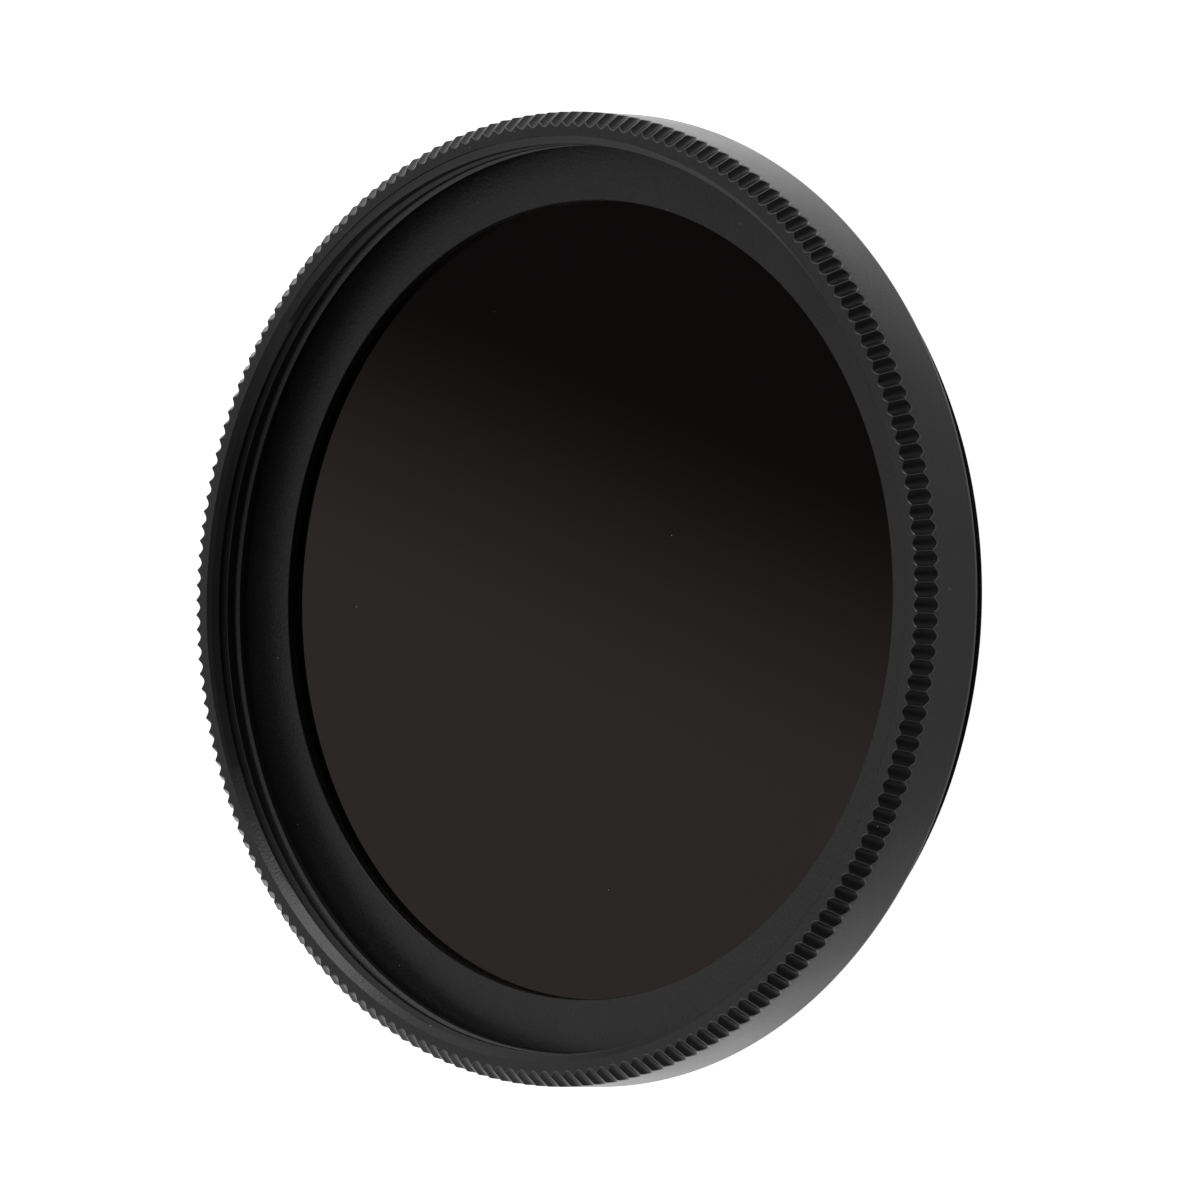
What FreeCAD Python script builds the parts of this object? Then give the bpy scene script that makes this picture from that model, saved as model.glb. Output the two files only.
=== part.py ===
"""Screw-in lens filter: a thin turned ring that holds one round glass.

The ring is knurled round its front corner. It has a thread inside its front, for
another filter or a cap, and a thread outside its rear, for the lens. The glass is
put in from the rear against a lip, and a slotted retaining ring holds it there.

Sizes are in millimetres. +Z is the optical axis and points out of the front, and
the origin is the middle of the rear end.
"""
import FreeCAD, Part
import math
import os

from FreeCAD import Vector

# Lens thread, the same size at the front and the rear
thread_diameter = 37.0
thread_pitch = 0.75
outer_diameter = 39.0

# Heights along the optical axis
band_height = 3.38
rear_thread_length = 1.72
recess_depth = 2.18
lip_thickness = 0.44
glass_thickness = 1.5
retainer_thickness = 0.6

# Diameters that the light passes through or that hold the glass
aperture_diameter = 32.0
seat_diameter = 34.5
glass_diameter = 34.3
retainer_diameter = 32.4

# Knurl round the front corner: round grooves side by side along a bevel, with sharp
# crests between them. Each is cut as a few flats, because there are so many.
bevel_radial = 0.42
bevel_axial = 0.59
groove_count = 198
groove_depth = 0.157
groove_flats = 3

# Small edges and reliefs
lead_in_width = 0.334
band_rear_bevel_radial = 0.1
band_rear_bevel_axial = 0.3
rear_thread_chamfer = 0.34
relief_height = 0.15
relief_slope_height = 0.12
shoulder_relief_height = 0.18
retainer_chamfer = 0.15
slot_width = 1.6
slot_depth = 0.35

# A metric thread of 60 degrees takes these shares of its pitch off the radius. The
# inner thread's crests are cut back near the limit that its tolerance allows.
inner_thread_share = 0.4267
outer_thread_share = 0.6134
outer_thread_allowance = 0.03

# Radii worked out from the sizes above
outer_radius = outer_diameter / 2
thread_radius = thread_diameter / 2
front_bore_radius = thread_radius - inner_thread_share * thread_pitch
rear_crest_radius = thread_radius - outer_thread_allowance
rear_root_radius = thread_radius - outer_thread_share * thread_pitch
aperture_radius = aperture_diameter / 2
seat_radius = seat_diameter / 2
glass_radius = glass_diameter / 2
retainer_radius = retainer_diameter / 2

# Heights of the faces, counted up from the rear end
shoulder_z = rear_thread_length
front_z = shoulder_z + band_height
lip_front_z = front_z - recess_depth
lip_rear_z = lip_front_z - lip_thickness
glass_rear_z = lip_rear_z - glass_thickness
retainer_rear_z = glass_rear_z - retainer_thickness


def revolved(profile):
    """Solid made by turning a closed outline of (radius, height) points about Z."""
    points = [Vector(radius, 0, height) for radius, height in profile]
    outline = Part.makePolygon(points + points[:1])
    return Part.Face(outline).revolve(Vector(0, 0, 0), Vector(0, 0, 1), 360)


def band_outline():
    """Front face, bevelled corner, smooth band and the shoulder behind it.

    The bevel stands a little proud, so that the grooves cut all of it away and leave
    their own crests at its stated place.
    """
    bevel_allowance = 0.01
    slope = math.hypot(bevel_radial, bevel_axial)
    return [
        (front_bore_radius + lead_in_width, front_z),
        (outer_radius - bevel_radial + bevel_allowance * slope / bevel_axial, front_z),
        (outer_radius, front_z - bevel_axial + bevel_allowance * slope / bevel_radial),
        (outer_radius, shoulder_z + band_rear_bevel_axial),
        (outer_radius - band_rear_bevel_radial, shoulder_z),
    ]


def rear_thread_outline():
    """Relief behind the shoulder, the crests of the rear thread and its lead-in."""
    relief_z = shoulder_z - shoulder_relief_height
    crest_z = relief_z - (rear_crest_radius - rear_root_radius)
    return [
        (rear_root_radius, shoulder_z),
        (rear_root_radius, relief_z),
        (rear_crest_radius, crest_z),
        (rear_crest_radius, rear_thread_chamfer),
        (rear_crest_radius - rear_thread_chamfer, 0),
    ]


def glass_seat_outline():
    """Bore that takes the glass and its retaining ring, and the lip with its aperture."""
    return [
        (seat_radius, 0),
        (seat_radius, lip_rear_z),
        (aperture_radius, lip_rear_z),
        (aperture_radius, lip_front_z),
    ]


def front_recess_outline():
    """Relief in front of the lip, then the crests of the front thread."""
    relief_z = lip_front_z + relief_height
    return [
        (thread_radius, lip_front_z),
        (thread_radius, relief_z),
        (front_bore_radius, relief_z + relief_slope_height),
        (front_bore_radius, front_z - lead_in_width),
    ]


def groove_section(start, outward):
    """Face across one groove, with a few flats for its round bottom.

    The corners of the flats lie on an arc from crest to crest. The outer flats are
    made longer, past the crests, so that neighbouring grooves cross there.
    """
    flank_stretch = 1.35
    half_pitch = math.pi * (outer_radius - bevel_radial / 2) / groove_count
    arc_radius = (half_pitch ** 2 + groove_depth ** 2) / (2 * groove_depth)
    centre_height = arc_radius - groove_depth
    half_angle = math.acos(centre_height / arc_radius)
    corners = []
    for index in range(groove_flats + 1):
        angle = half_angle * (2 * index / groove_flats - 1)
        across = Vector(0, arc_radius * math.sin(angle), 0)
        height = centre_height - arc_radius * math.cos(angle)
        corners.append(start + across + outward * height)
    corners[0] = corners[1] + (corners[0] - corners[1]) * flank_stretch
    corners[-1] = corners[-2] + (corners[-1] - corners[-2]) * flank_stretch
    return Part.Face(Part.makePolygon(corners + corners[:1]))


def groove_cutter():
    """Bar that cuts one groove, laid along the bevel at angle 0.

    It runs out past the front face at one end and through the smooth band at the other.
    """
    front_overrun = 0.15
    rear_overrun = 0.3
    bevel_length = math.hypot(bevel_radial, bevel_axial)
    along = Vector(bevel_radial, 0, -bevel_axial) / bevel_length
    outward = Vector(bevel_axial, 0, bevel_radial) / bevel_length
    start = Vector(outer_radius - bevel_radial, 0, front_z) - along * front_overrun
    length = front_overrun + bevel_length + rear_overrun
    return groove_section(start, outward).extrude(along * length)


def knurl_cutters():
    """The groove cutter repeated evenly round the optical axis."""
    cutter = groove_cutter()
    cutters = []
    for index in range(groove_count):
        copy = cutter.copy()
        copy.rotate(Vector(0, 0, 0), Vector(0, 0, 1), 360 * index / groove_count)
        cutters.append(copy)
    return cutters


def filter_ring():
    """The turned ring with its knurled front corner."""
    outline = band_outline() + rear_thread_outline()
    outline += glass_seat_outline() + front_recess_outline()
    return revolved(outline).cut(knurl_cutters())


def filter_glass():
    """Flat round glass, lying against the rear of the lip."""
    return Part.makeCylinder(glass_radius, glass_thickness, Vector(0, 0, glass_rear_z))


def retaining_ring():
    """Thin ring screwed in behind the glass, with two slots for a spanner."""
    ring = revolved([
        (retainer_radius, glass_rear_z),
        (seat_radius, glass_rear_z),
        (seat_radius, retainer_rear_z),
        (retainer_radius + retainer_chamfer, retainer_rear_z),
        (retainer_radius, retainer_rear_z + retainer_chamfer),
    ])
    slot_corner = Vector(-outer_radius, -slot_width / 2, retainer_rear_z - slot_depth)
    slots = Part.makeBox(outer_diameter, slot_width, 2 * slot_depth, slot_corner)
    return ring.cut(slots)


def main():
    """Write each piece to its own file."""
    pieces = {
        "filter_ring": filter_ring(),
        "filter_glass": filter_glass(),
        "retaining_ring": retaining_ring(),
    }
    os.makedirs("parts", exist_ok=True)
    for name, shape in pieces.items():
        shape.exportStep("parts/" + name + ".step")
        print(name, "valid", shape.isValid(), "solids", len(shape.Solids),
              "volume", round(shape.Volume, 2), "faces", len(shape.Faces))


if __name__ == "__main__":
    main()
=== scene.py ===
"""Screw-in lens filter: the looks of its ring, its glass and its retaining ring.

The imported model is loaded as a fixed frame, and each piece is then modelled in full
over its plain solid: the knurl with round grooves, both lens threads with their
turns, the glass with its ground edge and the slotted retaining ring.

Everything is in metres. +Z is the optical axis and points out of the front, and the
origin is the middle of the rear end.
"""

import math

import bmesh
import bpy
from bpy.props import FloatProperty, FloatVectorProperty, IntProperty, PointerProperty
from mathutils import Matrix, Vector


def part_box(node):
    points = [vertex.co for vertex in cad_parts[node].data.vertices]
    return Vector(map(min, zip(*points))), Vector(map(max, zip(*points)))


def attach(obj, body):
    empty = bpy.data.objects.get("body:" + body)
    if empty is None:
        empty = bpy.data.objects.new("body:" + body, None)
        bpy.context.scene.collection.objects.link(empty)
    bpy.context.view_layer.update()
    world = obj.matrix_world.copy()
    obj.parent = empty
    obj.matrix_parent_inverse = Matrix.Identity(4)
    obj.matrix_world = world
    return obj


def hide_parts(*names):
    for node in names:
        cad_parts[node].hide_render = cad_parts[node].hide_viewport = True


bl_info = {
    "name": "Screw-in lens filter",
    "version": (1, 0, 0),
    "blender": (4, 5, 0),
    "location": "View3D > Sidebar > Lens filter",
    "description": "Models a knurled, threaded lens filter round its packed solids",
    "category": "Add Mesh",
}

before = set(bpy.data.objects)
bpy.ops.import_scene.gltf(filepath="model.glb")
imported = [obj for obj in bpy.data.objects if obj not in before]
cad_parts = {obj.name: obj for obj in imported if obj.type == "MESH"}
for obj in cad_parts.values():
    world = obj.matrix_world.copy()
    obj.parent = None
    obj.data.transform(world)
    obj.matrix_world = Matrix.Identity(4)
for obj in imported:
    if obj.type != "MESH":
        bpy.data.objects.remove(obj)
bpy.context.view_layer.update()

MM = 0.001
MIDDLE = (0, 0, 0)
AXIS = (0, 0, 1)

# Distances within which two vertices become one, and two rows of them count as one
MERGE_DISTANCE = 0.0009 * MM
SLACK = 0.01 * MM

# Small corners: along turned walls, along a thread's crests, and in the relief where the
# front thread starts
TURNED_EDGE = 0.03 * MM
THREAD_EDGE = 0.02 * MM
RELIEF_EDGE = 0.04 * MM

# Places of the ring's finishes in its list of materials
BLASTED = 0
# Lighter edge finish: partly wear, partly painted highlight
WORN_AND_HIGHLIT = 1
# Deep black finishes: painted shade in grooves, threads and recesses
PAINTED_SHADE = 2
SHADED_THREAD = 3

# Camera: its place, its turn in degrees and the way to it from the filter
CAMERA_LENS = 506.49
CAMERA_PLACE = (0.442552, -0.019659, 0.513297)
CAMERA_TURN = (1.66596, 40.88018, 0)
CAMERA_SIDE = (0.656, -0.029, 0.754)

# Studio: the floor, the key light, and the flag whose soft edge darkens part of the glass
FLOOR_HALF = 3.0
FLOOR_HEIGHT = -0.02 * MM
KEY_PLACE = (0.09, 0.50, 0.25)
KEY_SIZE = 0.26
KEY_STRENGTH = 4.1
FLAG_LOW = (-0.42, -0.10)
FLAG_HIGH = (-0.10, 0.22)
FLAG_HEIGHT = 0.30
FLAG_EDGE = (-0.2569, 0.0158, 0.30)
FLAG_NORMAL = (0.331, 0.944, 0.0)
FLAG_FADE = 22 * MM
FLAG_DARK = 60 * MM

# Heights and radii that the solids already have
ring_low, ring_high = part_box("filter_ring")
glass_low, glass_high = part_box("filter_glass")
retainer_low, retainer_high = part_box("retaining_ring")


def length(name, description, default):
    """A size in metres that the sidebar shows in the scene's units."""
    return FloatProperty(name=name, description=description, default=default,
                         min=0.0, precision=6, unit="LENGTH", subtype="DISTANCE")


def colour(name, description, default):
    """A linear colour without alpha."""
    return FloatVectorProperty(name=name, description=description, default=default,
                               min=0.0, max=1.0, size=3, subtype="COLOR")


class LensFilterRingSizes(bpy.types.PropertyGroup):
    """Sizes of the knurled ring."""
    front_height: length("Front height", "Height of the front face", ring_high.z)
    outer_radius: length("Outer radius", "Radius of the smooth band", ring_high.x)
    shoulder_height: length("Shoulder height", "Height of the face that meets the lens", 1.72 * MM)
    shoulder_round: length("Shoulder round", "Rounding at the rear of the band", 0.3 * MM)
    bevel_width: length("Bevel width", "Knurled bevel, measured on the front face", 0.42 * MM)
    bevel_height: length("Bevel height", "Knurled bevel, measured along the axis", 0.59 * MM)
    groove_depth: length("Groove depth", "Depth of each round groove below the crests", 0.157 * MM)
    crest_width: length("Crest width", "Flat left between two grooves", 0.055 * MM)
    edge_width: length("Edge width", "Broken edge where a groove runs out", 0.036 * MM)
    lip_height: length("Lip height", "Height of the flange in front of the glass", 2.92 * MM)
    lip_thickness: length("Lip thickness", "Thickness of the flange", 0.44 * MM)
    aperture_radius: length("Aperture radius", "Hole in the flange", 16.0 * MM)
    seat_radius: length("Seat radius", "Bore that takes the glass from behind", 17.25 * MM)
    grooves: IntProperty(name="Grooves", description="Round grooves in the knurl",
                         default=198, min=12)


class LensFilterThreadSizes(bpy.types.PropertyGroup):
    """Sizes of the two lens threads, which are the same standard size."""
    pitch: length("Pitch", "Distance from one turn to the next", 0.75 * MM)
    major_radius: length("Major radius", "Radius of the inner thread's roots", 18.5 * MM)
    inner_crest: length("Inner crest", "Radius of the inner thread's crests", 18.18 * MM)
    outer_crest: length("Outer crest", "Radius of the outer thread's crests", 18.47 * MM)
    outer_root: length("Outer root", "Radius of the outer thread's roots", 18.04 * MM)
    lead_in: length("Lead-in", "Width of the chamfer at the thread's front end", 0.334 * MM)
    end_chamfer: length("End chamfer", "Chamfer at the rear thread's end", 0.34 * MM)
    inner_start: length("Inner start", "Height of an inner crest on the X axis", 3.712 * MM)
    relief_top: length("Relief top", "Height of the relief in front of the flange", 3.07 * MM)
    relief_slope: length("Relief slope", "Height in which the relief ends", 0.12 * MM)
    rear_relief: length("Rear relief", "Height of the relief behind the shoulder", 0.18 * MM)


class LensFilterGlassSizes(bpy.types.PropertyGroup):
    """Sizes of the glass."""
    radius: length("Radius", "Radius of the round glass", glass_high.x)
    rear_height: length("Rear height", "Height of its rear face", glass_low.z)
    front_height: length("Front height", "Height of its front face", glass_high.z)
    ground_edge: length("Ground edge", "Ground chamfer round both faces", 0.15 * MM)


class LensFilterRetainerSizes(bpy.types.PropertyGroup):
    """Sizes of the slotted ring behind the glass."""
    outer_radius: length("Outer radius", "Radius in the bore's thread", retainer_high.x)
    inner_radius: length("Inner radius", "Radius of its hole", 16.2 * MM)
    rear_height: length("Rear height", "Height of its slotted face", retainer_low.z)
    front_height: length("Front height", "Height of the face on the glass", retainer_high.z)
    chamfer: length("Chamfer", "Chamfer round the hole at the slotted face", 0.15 * MM)
    slot_width: length("Slot width", "Width of each spanner slot", 1.6 * MM)
    slot_depth: length("Slot depth", "Depth of each spanner slot", 0.35 * MM)


class LensFilterFinishes(bpy.types.PropertyGroup):
    """Colours of the finishes and of the studio."""
    anodised: colour("Anodised ring", "Blasted black anodised aluminium", (0.0135, 0.0133, 0.0132))
    # Painted shade: this deep black stands in for the shade in the knurl's grooves, the threads
    # and the recesses
    cut: colour("Cut metal", "Deep black in the knurl's grooves and the threads",
                (0.005, 0.005, 0.0051))
    # Partly wear, partly painted highlight: this lighter black stands in for the light caught on
    # crests, corners and thread flanks
    edge: colour("Broken edges", "Thinner black along crests and corners", (0.058, 0.058, 0.059))
    retainer: colour("Retainer", "Turned black anodised aluminium", (0.017, 0.017, 0.0175))
    gloss: colour("Gloss", "Warm tint of the glass's reflections", (1.0, 0.82, 0.78))
    glass: colour("Glass", "Near-black glass with a red-brown tone", (0.0012, 0.0008, 0.0007))
    ground: colour("Ground glass", "Fine ground edge of the glass", (0.05, 0.045, 0.043))
    dust: colour("Dust", "Specks of dust on all faces", (0.42, 0.42, 0.42))
    floor: colour("Floor", "Plain pale floor", (0.8, 0.8, 0.8))


def settings(context):
    """The property groups that hang on the scene."""
    return context.scene.lens_filter


class LensFilterSettings(bpy.types.PropertyGroup):
    """All sizes and colours of the lens filter."""
    ring: PointerProperty(type=LensFilterRingSizes)
    thread: PointerProperty(type=LensFilterThreadSizes)
    glass: PointerProperty(type=LensFilterGlassSizes)
    retainer: PointerProperty(type=LensFilterRetainerSizes)
    finish: PointerProperty(type=LensFilterFinishes)


# Shared mesh work

def polar(radius, angle, height):
    """Point at a radius, an angle round the optical axis and a height."""
    return Vector((radius * math.cos(angle), radius * math.sin(angle), height))


def draw_chain(mesh, outline):
    """Chain of edges through (radius, height) points on the X axis."""
    verts = [mesh.verts.new((radius, 0, height)) for radius, height in outline]
    edges = [mesh.edges.new(pair) for pair in zip(verts, verts[1:])]
    return verts, edges


def add_part(mesh, part):
    """Put a part that was made by itself, which is much quicker, into the whole mesh."""
    shape = bpy.data.meshes.new("part")
    part.to_mesh(shape)
    part.free()
    mesh.from_mesh(shape)
    bpy.data.meshes.remove(shape)


def repeat_round(part, angle, copies, rise=0.0):
    """Repeat all of a part round the optical axis, with an even rise where it screws."""
    bmesh.ops.spin(part, geom=part.verts[:] + part.edges[:] + part.faces[:], cent=MIDDLE,
                   axis=AXIS, angle=angle * copies, dvec=(0, 0, rise), steps=copies,
                   use_duplicate=True)
    bmesh.ops.remove_doubles(part, verts=part.verts, dist=MERGE_DISTANCE)


def turn(mesh, outline, steps, finish=BLASTED):
    """Turn a chain of (radius, height) points once round the optical axis."""
    part = bmesh.new()
    verts, edges = draw_chain(part, outline)
    bmesh.ops.spin(part, geom=verts + edges, cent=MIDDLE, axis=AXIS, angle=math.tau,
                   steps=steps, use_merge=True)
    for face in part.faces:
        face.material_index = finish
    add_part(mesh, part)


def sharpen(mesh, limit):
    """Shade faces smoothly, and keep each edge sharper than the limit crisp."""
    for face in mesh.faces:
        face.smooth = True
    for edge in mesh.edges:
        edge.smooth = edge.calc_face_angle(0.0) < limit


def finished_piece(mesh, name, node, materials, limit=math.radians(20)):
    """Close the mesh, point its faces outwards and hang it on the frame."""
    bmesh.ops.remove_doubles(mesh, verts=mesh.verts, dist=MERGE_DISTANCE)
    bmesh.ops.dissolve_degenerate(mesh, edges=mesh.edges, dist=MERGE_DISTANCE / 4)
    bmesh.ops.recalc_face_normals(mesh, faces=mesh.faces)
    open_edges = sum(not edge.is_manifold for edge in mesh.edges)
    if open_edges:
        raise RuntimeError(name + " has open or doubled edges: " + str(open_edges))
    sharpen(mesh, limit)
    data = bpy.data.meshes.new(name)
    mesh.to_mesh(data)
    mesh.free()
    piece = bpy.data.objects.new(name, data)
    bpy.context.scene.collection.objects.link(piece)
    for material in materials:
        data.materials.append(material)
    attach(piece, "root")
    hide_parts(node)
    return piece


# Knurl

def groove_depth_at(across, half_width, depth):
    """Depth of a groove at a distance from its middle: nearly straight flanks that meet
    in a round bottom, and nothing past its crests."""
    bottom_radius = 0.35 * MM
    slope = math.sqrt((depth + bottom_radius) ** 2 - bottom_radius ** 2) / half_width
    reach = min(abs(across), half_width)
    return depth + bottom_radius - math.hypot(bottom_radius, slope * reach)


def tooth_outline(ring, thread):
    """Meridian of one knurl tooth: front face, broken edges, bevel, band and shoulder.

    The rows named face and band lie a little past the ends of the grooves.
    """
    face_margin = 0.32 * MM
    band_margin = 0.4 * MM
    corner_steps = 5
    bevel = math.hypot(ring.bevel_width, ring.bevel_height)
    out = ring.edge_width * ring.bevel_width / bevel
    down = ring.edge_width * ring.bevel_height / bevel
    face_radius = ring.outer_radius - ring.bevel_width
    band_top = ring.front_height - ring.bevel_height
    rear_corner = {}
    for index in range(corner_steps + 1):
        angle = math.pi / 2 * index / corner_steps
        rear_corner["band end " + str(index)] = (
            ring.outer_radius - ring.shoulder_round * (1 - math.cos(angle)),
            ring.shoulder_height + ring.shoulder_round * (1 - math.sin(angle)))
    return {
        "inner edge": (thread.inner_crest + thread.lead_in, ring.front_height),
        "face": (face_radius - face_margin, ring.front_height),
        "front edge": (face_radius - ring.edge_width, ring.front_height),
        "front corner": (face_radius + out, ring.front_height - down),
        "rear corner": (ring.outer_radius - out, band_top + down),
        "rear edge": (ring.outer_radius, band_top - ring.edge_width),
        "band": (ring.outer_radius, band_top - band_margin),
        **rear_corner,
    }


def carve_tooth(mesh, outline, ring, half_angle, cuts):
    """Move a tooth's vertices on to its round groove."""
    middle_radius = ring.outer_radius - ring.bevel_width / 2
    half_pitch = half_angle * middle_radius
    half_width = half_pitch - ring.crest_width / 2
    bevel = math.hypot(ring.bevel_width, ring.bevel_height)
    crest_share = cuts / (cuts + 1)
    for vert in mesh.verts:
        radius = math.hypot(vert.co.x, vert.co.y)
        share = math.atan2(vert.co.y, vert.co.x) / half_angle
        share = round(share * (cuts + 1)) / (cuts + 1)
        row = min(outline, key=lambda name: math.hypot(outline[name][0] - radius,
                                                       outline[name][1] - vert.co.z))
        radius, height = outline[row]
        if height > outline["band"][1] - SLACK and row != "inner edge" and abs(share) < 1:
            share = share / crest_share * half_width / half_pitch
        depth = groove_depth_at(share * half_pitch, half_width, ring.groove_depth)
        if row.startswith("front"):
            radius -= depth * bevel / ring.bevel_height
        if row.startswith("rear"):
            height -= depth * bevel / ring.bevel_width
        vert.co = polar(radius, share * half_angle, height)


def choose_tooth_finishes(mesh, outline, half_angle, cuts):
    """Painted highlights, partly wear, on crests, groove ends and rear corner, and painted shade
    deep in the groove.
    """
    front = outline["front edge"][1], outline["front corner"][1]
    rear = outline["rear corner"][1], outline["rear edge"][1]
    crest_angle = half_angle * (cuts + 0.5) / (cuts + 1)
    for face in mesh.faces:
        centre = face.calc_center_median()
        on_crest = abs(math.atan2(centre.y, centre.x)) > crest_angle
        at_end = front[1] < centre.z < front[0] or rear[1] < centre.z < rear[0]
        on_bevel = rear[0] < centre.z < front[1]
        at_shoulder = outline["band end 2"][1] < centre.z < outline["band end 0"][1]
        if at_end or at_shoulder or (on_crest and on_bevel):
            face.material_index = WORN_AND_HIGHLIT
        elif on_bevel:
            face.material_index = PAINTED_SHADE


def edges_to_divide(tooth, outline):
    """Edges across a tooth, from its face to its band, where the groove needs more."""
    least_width = 0.1 * MM
    least_radius = outline["face"][0] - SLACK
    least_height = outline["band"][1] - SLACK
    chosen = []
    for edge in tooth.edges:
        start, end = edge.verts[0].co, edge.verts[1].co
        is_across = abs(start.z - end.z) < MERGE_DISTANCE and abs(start.y - end.y) > least_width
        if is_across and math.hypot(start.x, start.y) > least_radius and start.z > least_height:
            chosen.append(edge)
    return chosen


def add_knurled_band(mesh, ring, thread):
    """One tooth of the knurl with its part of the face and band, repeated all round."""
    cuts = 4
    half_angle = math.pi / ring.grooves
    outline = tooth_outline(ring, thread)
    tooth = bmesh.new()
    verts, edges = draw_chain(tooth, outline.values())
    bmesh.ops.rotate(tooth, verts=verts, cent=MIDDLE,
                     matrix=Matrix.Rotation(-half_angle, 3, "Z"))
    bmesh.ops.spin(tooth, geom=verts + edges, cent=MIDDLE, axis=AXIS,
                   angle=2 * half_angle, steps=2)
    bmesh.ops.subdivide_edges(tooth, edges=edges_to_divide(tooth, outline), cuts=cuts,
                              use_single_edge=True)
    choose_tooth_finishes(tooth, outline, half_angle, cuts)
    carve_tooth(tooth, outline, ring, half_angle, cuts)
    repeat_round(tooth, 2 * half_angle, ring.grooves - 1)
    add_part(mesh, tooth)


# Threads

def thread_outline(crest, root, pitch, crest_share, root_share):
    """One turn of a 60 degree thread as (radius, height) corners, crest in the middle.

    The two shares of the pitch are the flats at the crest and at the root.
    """
    flank_cuts = 8
    flank = pitch * (1 - crest_share - root_share) / 2
    half_crest = pitch * crest_share / 2
    flank_top = crest + math.copysign(0.6 * THREAD_EDGE, root - crest)
    flank_start = 0.3 * THREAD_EDGE
    toward_root = []
    for index in range(flank_cuts + 1):
        share = index / flank_cuts
        toward_root.append((flank_top + (root - flank_top) * share,
                            half_crest + flank_start + (flank - flank_start) * share))
    return [
        (crest, -half_crest + THREAD_EDGE),
        (crest, half_crest - THREAD_EDGE),
        *toward_root,
        *[(radius, pitch - height) for radius, height in reversed(toward_root)],
        (crest, pitch - half_crest + THREAD_EDGE),
    ]


def screw_thread(mesh, outline, pitch, start, low, high, steps, fit, finish):
    """Screw a thread's outline round the axis, cut at two heights and fitted to a shape.

    fit gives the radius that the surface really has, from the thread's radius and the
    height: the chamfers and reliefs at the thread's ends cut into its turns. finish
    gives a face's finish from the same two numbers at its middle, and its height above
    the middle of the nearest crest.
    """
    turns_below = math.ceil((start - low) / pitch) + 1
    turns = turns_below + math.ceil((high - start) / pitch) + 1
    base = start - turns_below * pitch
    sectors = 18
    screw = bmesh.new()
    draw_chain(screw, [(radius, base + height) for radius, height in outline])
    repeat_round(screw, 0.0, turns, rise=pitch)
    bmesh.ops.spin(screw, geom=screw.verts[:] + screw.edges[:], cent=MIDDLE, axis=AXIS,
                   angle=math.tau / sectors, dvec=(0, 0, pitch / steps),
                   steps=steps // sectors)
    repeat_round(screw, math.tau / sectors, sectors - 1, rise=pitch / sectors)
    for vert in screw.verts:
        angle = math.atan2(vert.co.y, vert.co.x)
        height = min(max(vert.co.z, low), high)
        radius = fit(math.hypot(vert.co.x, vert.co.y), height)
        vert.co = polar(radius, angle, height)
    bmesh.ops.remove_doubles(screw, verts=screw.verts, dist=MERGE_DISTANCE)
    for face in screw.faces:
        centre = face.calc_center_median()
        lift = pitch * math.atan2(centre.y, centre.x) / math.tau
        above_crest = (centre.z - start - lift + pitch / 2) % pitch - pitch / 2
        face.material_index = finish(math.hypot(centre.x, centre.y), centre.z, above_crest)
    add_part(mesh, screw)


def add_front_thread(mesh, ring, thread, steps):
    """Right-hand inner thread between the relief at the flange and the lead-in.

    Each crest gets a painted highlight, partly wear, along its front corner, and the first turn a
    painted highlight further down its flank.
    """
    crest_share = 0.38
    root_share = 0.125
    chamfer_slack = 0.003 * MM
    worn_and_highlit_crest = 0.02 * MM
    worn_and_highlit_flank = 0.01 * MM
    highlit_first_flank = 0.072 * MM
    outline = thread_outline(thread.inner_crest, thread.major_radius, thread.pitch,
                             crest_share, root_share)
    low = thread.relief_top - RELIEF_EDGE

    def lead_in_at(height):
        return thread.inner_crest + thread.lead_in - (ring.front_height - height)

    def fit(radius, height):
        slope = (thread.relief_top + thread.relief_slope - height) / thread.relief_slope
        relief = thread.inner_crest + (thread.major_radius - thread.inner_crest) * min(slope, 1)
        return max(radius, relief, lead_in_at(height))

    def finish(radius, height, above_crest):
        # The relief and the thread's turns get the deep black of painted shade
        if height < thread.relief_top + thread.relief_slope:
            return PAINTED_SHADE
        if lead_in_at(height) > max(radius, thread.inner_crest) - chamfer_slack:
            return BLASTED
        # Painted highlight, partly wear: it reaches further down the first turn's flank
        highlit_reach = highlit_first_flank if height < low + thread.pitch else worn_and_highlit_flank
        above_corner = above_crest - thread.pitch * crest_share / 2
        return WORN_AND_HIGHLIT if -worn_and_highlit_crest < above_corner < highlit_reach else SHADED_THREAD

    screw_thread(mesh, outline, thread.pitch, thread.inner_start, low, ring.front_height,
                 steps, fit, finish)


def add_rear_thread(mesh, ring, thread, steps):
    """Right-hand outer thread between the relief at the shoulder and the end chamfer."""
    crest_share = 0.125
    root_share = 0.11
    crest_height = 0.9 * MM
    corner_top = 0.002 * MM
    corner_bottom = 0.01 * MM
    outline = thread_outline(thread.outer_crest, thread.outer_root, thread.pitch,
                             crest_share, root_share)
    high = ring.shoulder_height - thread.rear_relief

    def fit(radius, height):
        chamfer = thread.outer_crest - thread.end_chamfer + height
        if height <= 0:
            return chamfer
        relief = thread.outer_root + (high - height)
        return min(radius, chamfer, relief)

    def finish(radius, height, above_crest):
        # Crest corners above the end chamfer get a painted highlight, partly wear; the rest of the
        # thread gets the deep black of painted shade
        on_corner = corner_top < thread.outer_crest - radius < corner_bottom
        return WORN_AND_HIGHLIT if on_corner and height > thread.end_chamfer else SHADED_THREAD

    screw_thread(mesh, outline, thread.pitch, crest_height, 0.0, high, steps, fit, finish)


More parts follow.
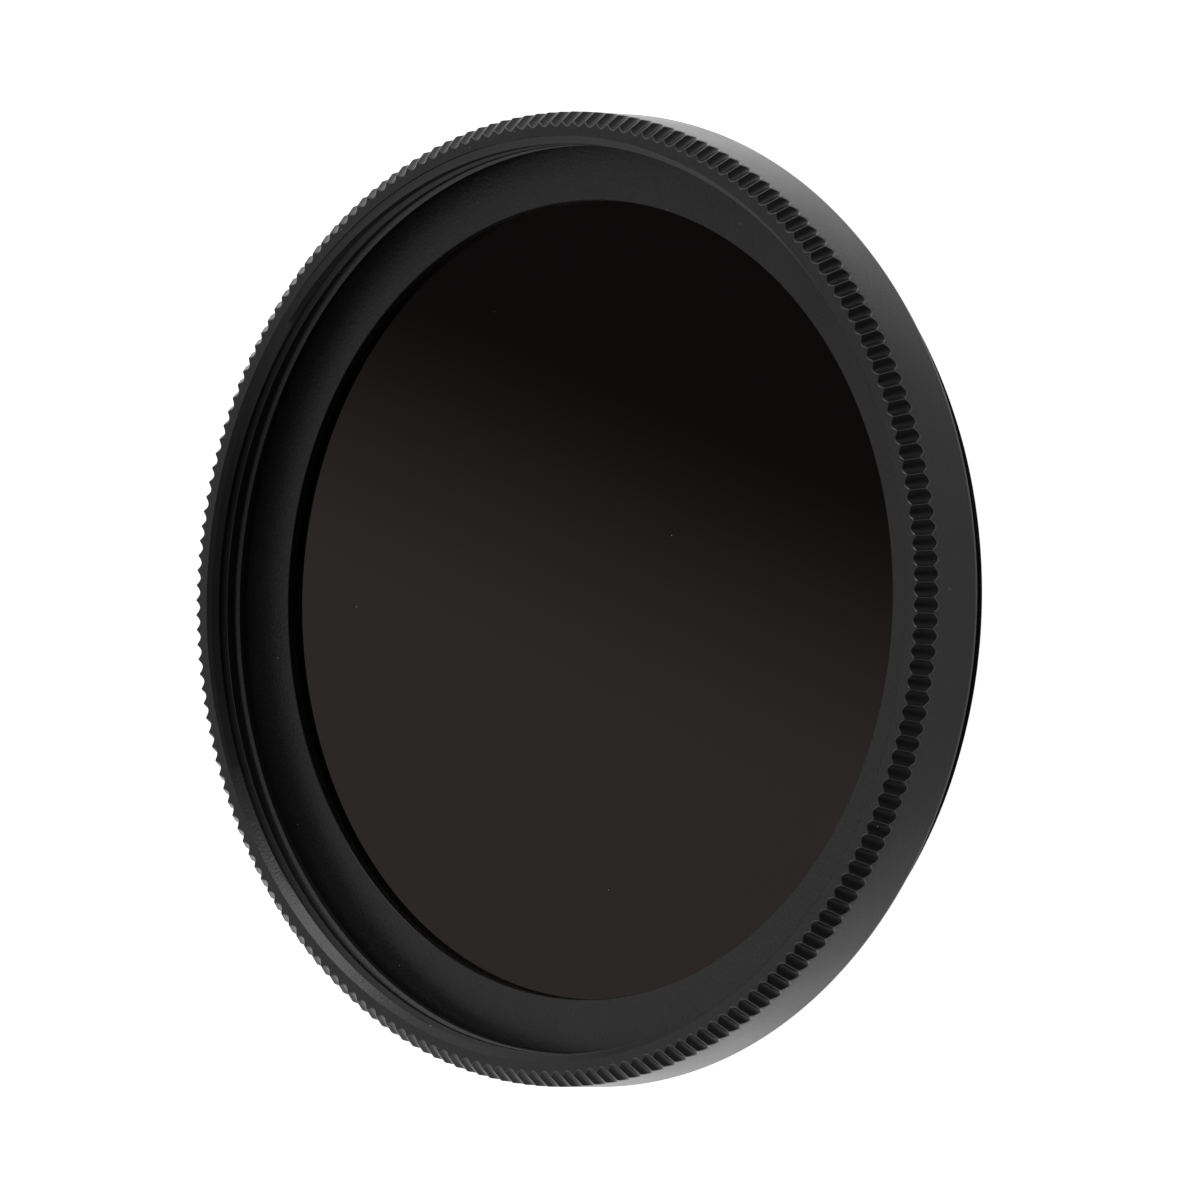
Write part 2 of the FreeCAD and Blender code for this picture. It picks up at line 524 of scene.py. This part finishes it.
def add_turned_walls(mesh, ring, thread, steps):
    """The plain turned faces between the two threads, and the shoulder."""
    edge = TURNED_EDGE
    lip_rear = ring.lip_height - ring.lip_thickness
    # The relief below the front thread gets the deep black of painted shade
    turn(mesh, [
        (thread.major_radius, thread.relief_top - RELIEF_EDGE),
        (thread.major_radius, ring.lip_height + 2 * edge),
        (thread.major_radius - 0.6 * edge, ring.lip_height + 0.6 * edge),
        (thread.major_radius - 2 * edge, ring.lip_height),
    ], steps, PAINTED_SHADE)
    turn(mesh, [
        (thread.major_radius - 2 * edge, ring.lip_height),
        (ring.aperture_radius + edge, ring.lip_height),
    ], steps)
    # The aperture wall, the lip's rear, the seat and the rear end get the deep black of painted
    # shade
    turn(mesh, [
        (ring.aperture_radius + edge, ring.lip_height),
        (ring.aperture_radius, ring.lip_height - edge),
        (ring.aperture_radius, lip_rear + edge),
        (ring.aperture_radius + edge, lip_rear),
        (ring.seat_radius, lip_rear),
        (ring.seat_radius, 2 * edge),
        (ring.seat_radius + 2 * edge, 0.0),
        (thread.outer_crest - thread.end_chamfer, 0.0),
    ], steps, PAINTED_SHADE)
    turn(mesh, [
        (thread.outer_root, ring.shoulder_height - thread.rear_relief),
        (thread.outer_root, ring.shoulder_height),
        (ring.outer_radius - ring.shoulder_round, ring.shoulder_height),
    ], steps)


# Retaining ring

def scratch_object(name, mesh):
    """Object that only serves as material for a cut."""
    data = bpy.data.meshes.new(name)
    mesh.to_mesh(data)
    mesh.free()
    piece = bpy.data.objects.new(name, data)
    bpy.context.scene.collection.objects.link(piece)
    return piece


def with_slots(mesh, retainer):
    """Cut the two spanner slots, which lie on one line across the ring."""
    bar = bmesh.new()
    bmesh.ops.create_cube(bar, size=1.0)
    bmesh.ops.scale(bar, verts=bar.verts,
                    vec=(3 * retainer.outer_radius, retainer.slot_width, 2 * retainer.slot_depth))
    bmesh.ops.translate(bar, verts=bar.verts, vec=(0, 0, retainer.rear_height))
    blank = scratch_object("blank", mesh)
    cutter = scratch_object("cutter", bar)
    cut = blank.modifiers.new("slots", "BOOLEAN")
    cut.object = cutter
    cut.operation = "DIFFERENCE"
    cut.solver = "EXACT"
    shape = bpy.data.meshes.new_from_object(
        blank.evaluated_get(bpy.context.evaluated_depsgraph_get()))
    slotted = bmesh.new()
    slotted.from_mesh(shape)
    for piece in (blank, cutter):
        bpy.data.meshes.remove(piece.data)
    bpy.data.meshes.remove(shape)
    return slotted


# Finishes

def add_node(tree, kind, **values):
    """New node with the given inputs set by name."""
    node = tree.nodes.new(kind)
    for name, value in values.items():
        node.inputs[name].default_value = value
    return node


def ramp_node(tree, low, high, low_colour, high_colour):
    """Colour ramp from one colour to another between two positions."""
    node = tree.nodes.new("ShaderNodeValToRGB")
    first, last = node.color_ramp.elements
    first.position = low
    last.position = high
    first.color = (*low_colour, 1)
    last.color = (*high_colour, 1)
    return node


def tone_node(tree, shade, spread):
    """Colour ramp that makes a shade darker and lighter by a share of itself."""
    darker = [(1 - spread) * part for part in shade]
    lighter = [(1 + spread) * part for part in shade]
    return ramp_node(tree, 0.3, 0.7, darker, lighter)


def range_node(tree, low, high, at_low, at_high, smooth=False):
    """Number that goes from one value to another while its input goes from low to high."""
    node = add_node(tree, "ShaderNodeMapRange", **{
        "From Min": low, "From Max": high, "To Min": at_low, "To Max": at_high})
    if smooth:
        node.interpolation_type = "SMOOTHSTEP"
    return node


def along_node(tree, direction):
    """How far a place lies along a direction."""
    node = tree.nodes.new("ShaderNodeVectorMath")
    node.operation = "DOT_PRODUCT"
    node.inputs[1].default_value = direction
    return node


def show_mixed(tree, share, first, second, output):
    """Show the first shader, and the second in its place by a share."""
    mix = tree.nodes.new("ShaderNodeMixShader")
    tree.links.new(share, mix.inputs["Fac"])
    tree.links.new(first, mix.inputs[1])
    tree.links.new(second, mix.inputs[2])
    tree.links.new(mix.outputs["Shader"], tree.nodes[output].inputs["Surface"])


def new_finish(name):
    """New material and its shader."""
    material = bpy.data.materials.new(name)
    material.use_nodes = True
    return material, material.node_tree.nodes["Principled BSDF"]


def add_dust(tree, base_socket, dust, cell_size):
    """Mix sparse specks of dust over a base colour, and give the mixed colour."""
    speck_radius = 0.026 * MM
    speck = speck_radius / cell_size
    coordinates = tree.nodes.new("ShaderNodeTexCoord")
    cells = add_node(tree, "ShaderNodeTexVoronoi", Scale=1 / cell_size)
    near = ramp_node(tree, 0.5 * speck, speck, (1, 1, 1), (0, 0, 0))
    mix = tree.nodes.new("ShaderNodeMix")
    mix.data_type = "RGBA"
    mix.inputs["B"].default_value = (*dust, 1)
    tree.links.new(coordinates.outputs["Object"], cells.inputs["Vector"])
    tree.links.new(cells.outputs["Distance"], near.inputs["Fac"])
    tree.links.new(near.outputs["Color"], mix.inputs["Factor"])
    tree.links.new(base_socket, mix.inputs["A"])
    return mix.outputs["Result"]


def blasted_finish(name, shade, dust, roughness, grain_depth, ior=1.5):
    """Black anodised metal with the fine grain of bead blasting."""
    gloss_spread = 0.05
    material, shader = new_finish(name)
    tree = material.node_tree
    shader.inputs["IOR"].default_value = ior
    coordinates = tree.nodes.new("ShaderNodeTexCoord")
    grain = add_node(tree, "ShaderNodeTexNoise", Scale=8000, Detail=3, Roughness=0.6)
    cloud = add_node(tree, "ShaderNodeTexNoise", Scale=500, Detail=2, Roughness=0.5)
    tone = tone_node(tree, shade, spread=0.2)
    gloss = range_node(tree, 0, 1, roughness - gloss_spread, roughness + gloss_spread)
    bump = add_node(tree, "ShaderNodeBump", Strength=1.0, Distance=grain_depth)
    for texture in (grain, cloud):
        tree.links.new(coordinates.outputs["Object"], texture.inputs["Vector"])
    tree.links.new(grain.outputs["Fac"], tone.inputs["Fac"])
    tree.links.new(cloud.outputs["Fac"], gloss.inputs["Value"])
    tree.links.new(grain.outputs["Fac"], bump.inputs["Height"])
    base = add_dust(tree, tone.outputs["Color"], dust, cell_size=1.1 * MM)
    tree.links.new(base, shader.inputs["Base Color"])
    tree.links.new(gloss.outputs["Result"], shader.inputs["Roughness"])
    tree.links.new(bump.outputs["Normal"], shader.inputs["Normal"])
    return material


def polished_glass_finish(name, shade, dust, tint):
    """Near-black polished glass: its colour lies deep, so only gloss and dust show."""
    material, shader = new_finish(name)
    tree = material.node_tree
    shader.inputs["IOR"].default_value = 1.4
    shader.inputs["Roughness"].default_value = 0.03
    shader.inputs["Specular Tint"].default_value = (*tint, 1)
    coordinates = tree.nodes.new("ShaderNodeTexCoord")
    cloud = add_node(tree, "ShaderNodeTexNoise", Scale=120, Detail=2, Roughness=0.5)
    tone = tone_node(tree, shade, spread=0.1)
    tree.links.new(coordinates.outputs["Object"], cloud.inputs["Vector"])
    tree.links.new(cloud.outputs["Fac"], tone.inputs["Fac"])
    base = add_dust(tree, tone.outputs["Color"], dust, cell_size=2.6 * MM)
    tree.links.new(base, shader.inputs["Base Color"])
    return material


def glowing_finish(name, shade):
    """New material that gives white light, and its shader, whose strength is still to set."""
    material, shader = new_finish(name)
    shader.inputs["Base Color"].default_value = (*shade, 1)
    shader.inputs["Roughness"].default_value = 0.9
    shader.inputs["Specular IOR Level"].default_value = 0.0
    shader.inputs["Emission Color"].default_value = (1, 1, 1, 1)
    return material, shader


# Operators, one for each piece and one for the stage

class LENSFILTER_OT_ring(bpy.types.Operator):
    """Model the knurled ring with both of its threads"""
    bl_idname = "lensfilter.ring"
    bl_label = "Knurled ring"

    def execute(self, context):
        """Make the ring and hang it on the frame."""
        sizes = settings(context)
        ring = sizes.ring
        steps = 2 * ring.grooves
        mesh = bmesh.new()
        add_knurled_band(mesh, ring, sizes.thread)
        add_front_thread(mesh, ring, sizes.thread, steps)
        add_rear_thread(mesh, ring, sizes.thread, steps)
        add_turned_walls(mesh, ring, sizes.thread, steps)
        colours = sizes.finish
        finished_piece(mesh, "threaded_ring", "filter_ring", [
            blasted_finish("blasted_black", colours.anodised, colours.dust,
                           roughness=0.33, grain_depth=0.011 * MM),
            # Partly wear, partly painted highlight on crests, corners and flanks
            blasted_finish("worn_and_highlit_black_edge", colours.edge, colours.dust,
                           roughness=0.3, grain_depth=0.001 * MM),
            # Painted shade: deep black with weak reflections in the knurl's grooves, the reliefs
            # and the recesses
            blasted_finish("shaded_cut_black", colours.cut, colours.dust,
                           roughness=0.33, grain_depth=0.002 * MM, ior=1.27),
            # Painted shade: deep black on the threads
            blasted_finish("shaded_thread_black", colours.cut, colours.dust,
                           roughness=0.3, grain_depth=0.001 * MM),
        ])
        return {"FINISHED"}


class LENSFILTER_OT_glass(bpy.types.Operator):
    """Model the glass with its ground edge"""
    bl_idname = "lensfilter.glass"
    bl_label = "Glass"

    def execute(self, context):
        """Make the glass and hang it on the frame."""
        sizes = settings(context)
        glass = sizes.glass
        steps = 240
        mesh = bmesh.new()
        turn(mesh, [
            (0.0, glass.front_height),
            (glass.radius - glass.ground_edge, glass.front_height),
            (glass.radius, glass.front_height - glass.ground_edge),
            (glass.radius, glass.rear_height + glass.ground_edge),
            (glass.radius - glass.ground_edge, glass.rear_height),
            (0.0, glass.rear_height),
        ], steps)
        colours = sizes.finish
        piece = finished_piece(mesh, "dark_disc", "filter_glass", [
            polished_glass_finish("dark_polished_glass", colours.glass, colours.dust,
                                  colours.gloss),
            blasted_finish("ground_glass_edge", colours.ground, colours.dust,
                           roughness=0.6, grain_depth=0.004 * MM),
        ])
        for face in piece.data.polygons:
            face.material_index = int(abs(face.normal.z) < 0.99)
        return {"FINISHED"}


class LENSFILTER_OT_retainer(bpy.types.Operator):
    """Model the slotted ring that holds the glass from behind"""
    bl_idname = "lensfilter.retainer"
    bl_label = "Retaining ring"

    def execute(self, context):
        """Make the retaining ring and hang it on the frame."""
        sizes = settings(context)
        retainer = sizes.retainer
        edge = TURNED_EDGE
        steps = 180
        mesh = bmesh.new()
        turn(mesh, [
            (retainer.inner_radius, retainer.front_height - edge),
            (retainer.inner_radius + edge, retainer.front_height),
            (retainer.outer_radius - edge, retainer.front_height),
            (retainer.outer_radius, retainer.front_height - edge),
            (retainer.outer_radius, retainer.rear_height + edge),
            (retainer.outer_radius - edge, retainer.rear_height),
            (retainer.inner_radius + retainer.chamfer, retainer.rear_height),
            (retainer.inner_radius, retainer.rear_height + retainer.chamfer),
            (retainer.inner_radius, retainer.front_height - edge),
        ], steps)
        bmesh.ops.recalc_face_normals(mesh, faces=mesh.faces)
        mesh = with_slots(mesh, retainer)
        colours = sizes.finish
        finished_piece(mesh, "slotted_ring", "retaining_ring", [
            blasted_finish("turned_black", colours.retainer, colours.dust,
                           roughness=0.36, grain_depth=0.002 * MM),
        ])
        return {"FINISHED"}


def stage_plane(name, corners, finish):
    """Flat four-cornered piece of the stage."""
    mesh = bmesh.new()
    mesh.faces.new([mesh.verts.new(corner) for corner in corners])
    data = bpy.data.meshes.new(name)
    mesh.to_mesh(data)
    mesh.free()
    plane = bpy.data.objects.new(name, data)
    bpy.context.scene.collection.objects.link(plane)
    data.materials.append(finish)
    return plane


def level_corners(low, high, height):
    """Corners of a level rectangle between two opposite corners."""
    return [(low[0], low[1], height), (high[0], low[1], height),
            (high[0], high[1], height), (low[0], high[1], height)]


def hanging_square(place, size):
    """Corners of a square that faces the filter from a place above the floor."""
    turned = Vector(place).to_track_quat("Z", "Y")
    half = size / 2
    flat = level_corners((-half, -half), (half, half), 0)
    return [Vector(place) + turned @ Vector(corner) for corner in flat]


def set_world(scene):
    """White tent round the filter, with a dark opening round the camera.

    The tent grows darker between the two cosines of the angle to the camera.
    """
    tent_strength = 0.72
    opening_strength = 0.12
    outer_cosine = 0.25
    inner_cosine = 0.9
    world = bpy.data.worlds.new("tent")
    world.use_nodes = True
    scene.world = world
    tree = world.node_tree
    tent = tree.nodes["Background"]
    tent.inputs["Color"].default_value = (1, 1, 1, 1)
    seen = add_node(tree, "ShaderNodeBackground", Color=(1, 1, 1, 1), Strength=1.0)
    ray = tree.nodes.new("ShaderNodeLightPath")
    coordinates = tree.nodes.new("ShaderNodeTexCoord")
    toward = along_node(tree, CAMERA_SIDE)
    opening = range_node(tree, outer_cosine, inner_cosine, tent_strength, opening_strength,
                         smooth=True)
    tree.links.new(coordinates.outputs["Generated"], toward.inputs[0])
    tree.links.new(toward.outputs["Value"], opening.inputs["Value"])
    tree.links.new(opening.outputs["Result"], tent.inputs["Strength"])
    show_mixed(tree, ray.outputs["Is Camera Ray"], tent.outputs["Background"],
               seen.outputs["Background"], "World Output")


def key_light_finish(name, strength):
    """Evenly lit panel without a colour of its own."""
    material, shader = glowing_finish(name, (0, 0, 0))
    shader.inputs["Emission Strength"].default_value = strength
    return material


def lit_floor_finish(name, shade):
    """Pale floor, lit from behind the filter so that it is dimmer on the camera's side.

    The camera sees it evenly lit, and it is clear from below, so that the underside of
    the filter can be looked at.
    """
    bright_place = 7 * MM
    dim_place = 19.5 * MM
    bright = 1.1
    dim = 0.13
    even = 0.95
    material, shader = glowing_finish(name, shade)
    tree = material.node_tree
    coordinates = tree.nodes.new("ShaderNodeTexCoord")
    split = tree.nodes.new("ShaderNodeSeparateXYZ")
    fall = range_node(tree, bright_place, dim_place, bright, dim)
    ray = tree.nodes.new("ShaderNodeLightPath")
    glow = tree.nodes.new("ShaderNodeMix")
    glow.inputs["B"].default_value = even
    side = tree.nodes.new("ShaderNodeNewGeometry")
    clear = tree.nodes.new("ShaderNodeBsdfTransparent")
    tree.links.new(coordinates.outputs["Object"], split.inputs["Vector"])
    tree.links.new(split.outputs["X"], fall.inputs["Value"])
    tree.links.new(ray.outputs["Is Camera Ray"], glow.inputs["Factor"])
    tree.links.new(fall.outputs["Result"], glow.inputs["A"])
    tree.links.new(glow.outputs["Result"], shader.inputs["Emission Strength"])
    show_mixed(tree, side.outputs["Backfacing"], shader.outputs["BSDF"],
               clear.outputs["BSDF"], "Material Output")
    return material


def flag_finish(name):
    """Black flag whose edges fade out, so that its reflection has no hard line."""
    darkness = 0.85
    material = bpy.data.materials.new(name)
    material.use_nodes = True
    tree = material.node_tree
    clear = tree.nodes.new("ShaderNodeBsdfTransparent")
    black = add_node(tree, "ShaderNodeEmission", Color=(0, 0, 0, 1), Strength=0.0)
    coordinates = tree.nodes.new("ShaderNodeTexCoord")
    across = along_node(tree, FLAG_NORMAL)
    start = Vector(FLAG_EDGE).dot(Vector(FLAG_NORMAL))
    end = start + FLAG_DARK
    rise = range_node(tree, start - FLAG_FADE / 2, start + FLAG_FADE / 2, 0, darkness,
                      smooth=True)
    fall = range_node(tree, end, end + FLAG_FADE, 1, 0, smooth=True)
    both = tree.nodes.new("ShaderNodeMath")
    both.operation = "MULTIPLY"
    tree.links.new(coordinates.outputs["Object"], across.inputs[0])
    tree.links.new(across.outputs["Value"], rise.inputs["Value"])
    tree.links.new(across.outputs["Value"], fall.inputs["Value"])
    tree.links.new(rise.outputs["Result"], both.inputs[0])
    tree.links.new(fall.outputs["Result"], both.inputs[1])
    show_mixed(tree, both.outputs["Value"], clear.outputs["BSDF"],
               black.outputs["Emission"], "Material Output")
    return material


def add_camera(scene):
    """Long lens that looks down on the front of the filter."""
    data = bpy.data.cameras.new("camera")
    data.sensor_width = 36
    data.lens = CAMERA_LENS
    data.clip_start = 0.01
    data.clip_end = 20
    camera = bpy.data.objects.new("camera", data)
    camera.location = CAMERA_PLACE
    camera.rotation_euler = [math.radians(angle) for angle in CAMERA_TURN]
    scene.collection.objects.link(camera)
    scene.camera = camera


class LENSFILTER_OT_stage(bpy.types.Operator):
    """Lay the floor, set the lights and place the camera"""
    bl_idname = "lensfilter.stage"
    bl_label = "Stage"

    def execute(self, context):
        """Make the floor, the light panels, the world and the camera."""
        scene = context.scene
        floor_corners = level_corners((-FLOOR_HALF, -FLOOR_HALF), (FLOOR_HALF, FLOOR_HALF),
                                      FLOOR_HEIGHT)
        stage_plane("floor", floor_corners,
                    lit_floor_finish("lit_floor", settings(context).finish.floor))
        key = stage_plane("key_panel", hanging_square(KEY_PLACE, KEY_SIZE),
                          key_light_finish("key_light", KEY_STRENGTH))
        flag = stage_plane("dark_flag", level_corners(FLAG_LOW, FLAG_HIGH, FLAG_HEIGHT),
                           flag_finish("soft_black"))
        key.visible_camera = False
        flag.visible_camera = False
        set_world(scene)
        add_camera(scene)
        scene.view_settings.view_transform = "Standard"
        return {"FINISHED"}


class LENSFILTER_PT_sidebar(bpy.types.Panel):
    """Lists the sizes and the pieces of the lens filter."""
    bl_idname = "LENSFILTER_PT_sidebar"
    bl_label = "Lens filter"
    bl_space_type = "VIEW_3D"
    bl_region_type = "UI"
    bl_category = "Lens filter"

    def draw(self, context):
        """Show each piece's sizes, then its button."""
        sizes = settings(context)
        for group in (sizes.ring, sizes.thread, sizes.glass, sizes.retainer, sizes.finish):
            box = self.layout.box()
            for name in group.__annotations__:
                box.prop(group, name)
        for operator in OPERATORS:
            self.layout.operator(operator.bl_idname)


OPERATORS = (
    LENSFILTER_OT_ring,
    LENSFILTER_OT_glass,
    LENSFILTER_OT_retainer,
    LENSFILTER_OT_stage,
)
CLASSES = (
    LensFilterRingSizes,
    LensFilterThreadSizes,
    LensFilterGlassSizes,
    LensFilterRetainerSizes,
    LensFilterFinishes,
    LensFilterSettings,
    *OPERATORS,
    LENSFILTER_PT_sidebar,
)


def register():
    """Register the classes and hang the settings on the scene."""
    for kind in CLASSES:
        bpy.utils.register_class(kind)
    bpy.types.Scene.lens_filter = PointerProperty(type=LensFilterSettings)


def unregister():
    """Take the settings and the classes away again."""
    del bpy.types.Scene.lens_filter
    for kind in reversed(CLASSES):
        bpy.utils.unregister_class(kind)


def main():
    """Build every piece in order."""
    register()
    bpy.ops.lensfilter.ring()
    bpy.ops.lensfilter.glass()
    bpy.ops.lensfilter.retainer()
    bpy.ops.lensfilter.stage()


if __name__ == "__main__":
    main()
